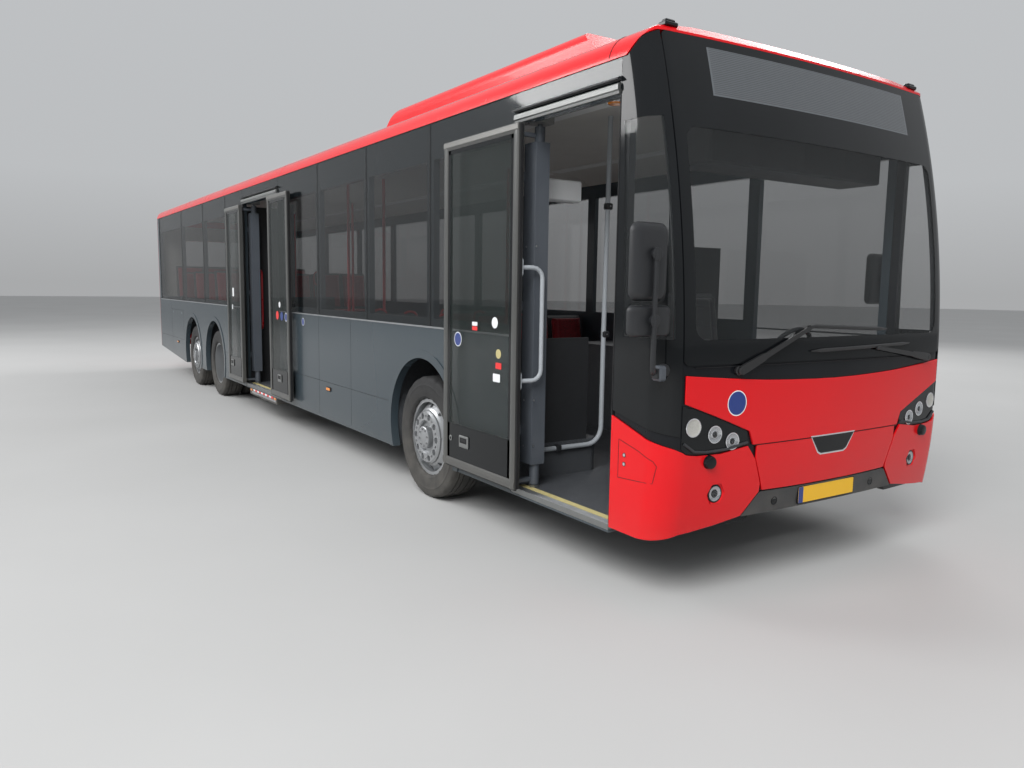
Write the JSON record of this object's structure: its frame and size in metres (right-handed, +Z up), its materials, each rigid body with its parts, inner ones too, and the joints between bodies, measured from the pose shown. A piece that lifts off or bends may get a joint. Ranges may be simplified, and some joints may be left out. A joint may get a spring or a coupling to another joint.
{
  "type": "three-axle low-entry passenger bus",
  "caption": "Low-entry passenger bus with raked curved windscreen, red roof and hood, dark glass band, outward-swinging doors on the right, roof unit and steered rear axle.",
  "frame": {"origin": "on the ground, half-way along the body, on its centre plane", "axes": "+X to the front, +Y to the left, +Z up"},
  "size_m": [13.7157, 3.07, 3.283],
  "materials": {
    "body_red": "gloss",
    "body_grey": "gloss",
    "mask_black": "gloss",
    "bumper_black": "textured",
    "clear_glass": "polished",
    "tinted_glass": "polished",
    "lamp_clear": "polished",
    "lamp_red": "gloss",
    "engine_grey": "as cast",
    "axle_black": "satin",
    "chassis_black": "satin",
    "floor_grey": "matt",
    "seat_cloth": "woven",
    "seat_black": "woven",
    "cab_black": "grained",
    "rail_red": "gloss",
    "rail_grey": "satin",
    "mirror_black": "grained",
    "wiper_black": "satin",
    "door_aluminium": "satin",
    "door_aluminium_dark": "satin",
    "ramp_aluminium": "tread plate",
    "rim_silver": "silver",
    "tyre_rubber": "matt",
    "post_grey": "satin"
  },
  "bodies": {
    "root": {"chassis": "chassis_black", "floor": "floor_grey", "side_right": "body_grey", "side_left": "body_grey", "rear_wall": "body_red", "roof": "body_red", "roof_unit": "body_red", "front_mask": "mask_black", "front_panels": "body_red", "bumper": "bumper_black", "windscreen": "clear_glass", "corner_glass": "clear_glass", "side_glass": "tinted_glass", "headlamps": "lamp_clear", "tail_lamps": "lamp_red", "engine": "engine_grey", "axles": "axle_black", "seats": "seat_cloth", "driver_seat": "seat_black", "dashboard": "cab_black", "driver_cab": "cab_black", "grab_rails": "rail_red", "entry_rail": "rail_grey", "screens": "cab_black", "mirrors": "mirror_black", "wipers": "wiper_black", "ramp_cassette": "chassis_black", "door_frames": "door_aluminium", "rain_strips": "mirror_black", "post_covers": "post_grey"},
    "knuckle_front_left": {"knuckle_front_left": "axle_black"},
    "knuckle_front_right": {"knuckle_front_right": "axle_black"},
    "knuckle_tag_left": {"knuckle_tag_left": "axle_black"},
    "knuckle_tag_right": {"knuckle_tag_right": "axle_black"},
    "wheel_front_left": {"rim_front_left": "rim_silver", "tyre_front_left": "tyre_rubber"},
    "wheel_front_right": {"rim_front_right": "rim_silver", "tyre_front_right": "tyre_rubber"},
    "wheel_drive_left": {"rim_drive_left": "rim_silver", "tyre_drive_left": "tyre_rubber"},
    "wheel_drive_right": {"rim_drive_right": "rim_silver", "tyre_drive_right": "tyre_rubber"},
    "wheel_tag_left": {"rim_tag_left": "rim_silver", "tyre_tag_left": "tyre_rubber"},
    "wheel_tag_right": {"rim_tag_right": "rim_silver", "tyre_tag_right": "tyre_rubber"},
    "door_post_front": {"post_front": "post_grey"},
    "door_leaf_front": {"leaf_front": "door_aluminium_dark", "pane_front": "tinted_glass", "door_handle": "rail_grey"},
    "door_post_mid_rear": {"post_mid_rear": "post_grey"},
    "door_leaf_mid_rear": {"leaf_mid_rear": "door_aluminium_dark", "pane_mid_rear": "tinted_glass"},
    "door_post_mid_front": {"post_mid_front": "post_grey"},
    "door_leaf_mid_front": {"leaf_mid_front": "door_aluminium_dark", "pane_mid_front": "tinted_glass"},
    "ramp": {"ramp": "ramp_aluminium"},
    "engine_hatch": {"engine_hatch": "body_red"}
  },
  "joints": [
    {"name": "steer_left", "type": "hinge", "parent": "root", "child": "knuckle_front_left", "pos_m": [4.13, 0.985, 0.475], "axis": [0, 0, 1], "range_deg": [-38, 38]},
    {"name": "steer_right", "type": "hinge", "parent": "root", "child": "knuckle_front_right", "pos_m": [4.13, -0.985, 0.475], "axis": [0, 0, 1], "range_deg": [-38.5, 38.5]},
    {"name": "steer_tag_left", "type": "hinge", "parent": "root", "child": "knuckle_tag_left", "pos_m": [-4.01, 0.985, 0.475], "axis": [0, 0, 1], "range_deg": [-13.5, 13.5]},
    {"name": "steer_tag_right", "type": "hinge", "parent": "root", "child": "knuckle_tag_right", "pos_m": [-4.01, -0.985, 0.475], "axis": [0, 0, 1], "range_deg": [-13.5, 13.5]},
    {"name": "spin_front_left", "type": "hinge", "parent": "knuckle_front_left", "child": "wheel_front_left", "pos_m": [4.13, 1.0985, 0.475], "axis": [0, 1, 0], "continuous": true},
    {"name": "spin_front_right", "type": "hinge", "parent": "knuckle_front_right", "child": "wheel_front_right", "pos_m": [4.13, -1.0985, 0.475], "axis": [0, 1, 0], "continuous": true},
    {"name": "spin_drive_left", "type": "hinge", "parent": "root", "child": "wheel_drive_left", "pos_m": [-2.55, 1.0985, 0.475], "axis": [0, 1, 0], "continuous": true},
    {"name": "spin_drive_right", "type": "hinge", "parent": "root", "child": "wheel_drive_right", "pos_m": [-2.55, -1.0985, 0.475], "axis": [0, 1, 0], "continuous": true},
    {"name": "spin_tag_left", "type": "hinge", "parent": "knuckle_tag_left", "child": "wheel_tag_left", "pos_m": [-4.01, 1.0985, 0.475], "axis": [0, 1, 0], "continuous": true},
    {"name": "spin_tag_right", "type": "hinge", "parent": "knuckle_tag_right", "child": "wheel_tag_right", "pos_m": [-4.01, -1.0985, 0.475], "axis": [0, 1, 0], "continuous": true},
    {"name": "door_front", "type": "hinge", "parent": "root", "child": "door_post_front", "pos_m": [5.47562, -1.145, 1.5], "axis": [0, 0, 1], "range_deg": [0, 149.2]},
    {"name": "door_front_leaf", "type": "hinge", "parent": "door_post_front", "child": "door_leaf_front", "pos_m": [5.089, -1.294, 1.5], "axis": [0, 0, 1], "range_deg": [-149.7, 0]},
    {"name": "door_mid_rear", "type": "hinge", "parent": "root", "child": "door_post_mid_rear", "pos_m": [-0.80829, -1.145, 1.5], "axis": [0, 0, 1], "range_deg": [0, 138.95]},
    {"name": "door_mid_rear_leaf", "type": "hinge", "parent": "door_post_mid_rear", "child": "door_leaf_mid_rear", "pos_m": [-1.086, -1.294, 1.5], "axis": [0, 0, 1], "range_deg": [-139.45, 0]},
    {"name": "door_mid_front", "type": "hinge", "parent": "root", "child": "door_post_mid_front", "pos_m": [0.51829, -1.145, 1.5], "axis": [0, 0, 1], "range_deg": [-138.95, 0]},
    {"name": "door_mid_front_leaf", "type": "hinge", "parent": "door_post_mid_front", "child": "door_leaf_mid_front", "pos_m": [0.796, -1.294, 1.5], "axis": [0, 0, 1], "range_deg": [0, 139.45]},
    {"name": "ramp_slide", "type": "slide", "parent": "root", "child": "ramp", "axis": [0, -1, 0], "range_m": [0, 0.65]},
    {"name": "hatch_hinge", "type": "hinge", "parent": "root", "child": "engine_hatch", "pos_m": [-6.844, 0, 1.246], "axis": [0, 1, 0], "range_deg": [0, 80]}
  ],
  "couplings": [
    {"joint": "steer_right", "follows": "steer_left", "ratio": 1},
    {"joint": "steer_tag_left", "follows": "steer_left", "ratio": -0.35},
    {"joint": "steer_tag_right", "follows": "steer_left", "ratio": -0.35},
    {"joint": "door_front_leaf", "follows": "door_front", "ratio": -1},
    {"joint": "door_mid_rear_leaf", "follows": "door_mid_rear", "ratio": -1},
    {"joint": "door_mid_front_leaf", "follows": "door_mid_front", "ratio": -1}
  ]
}
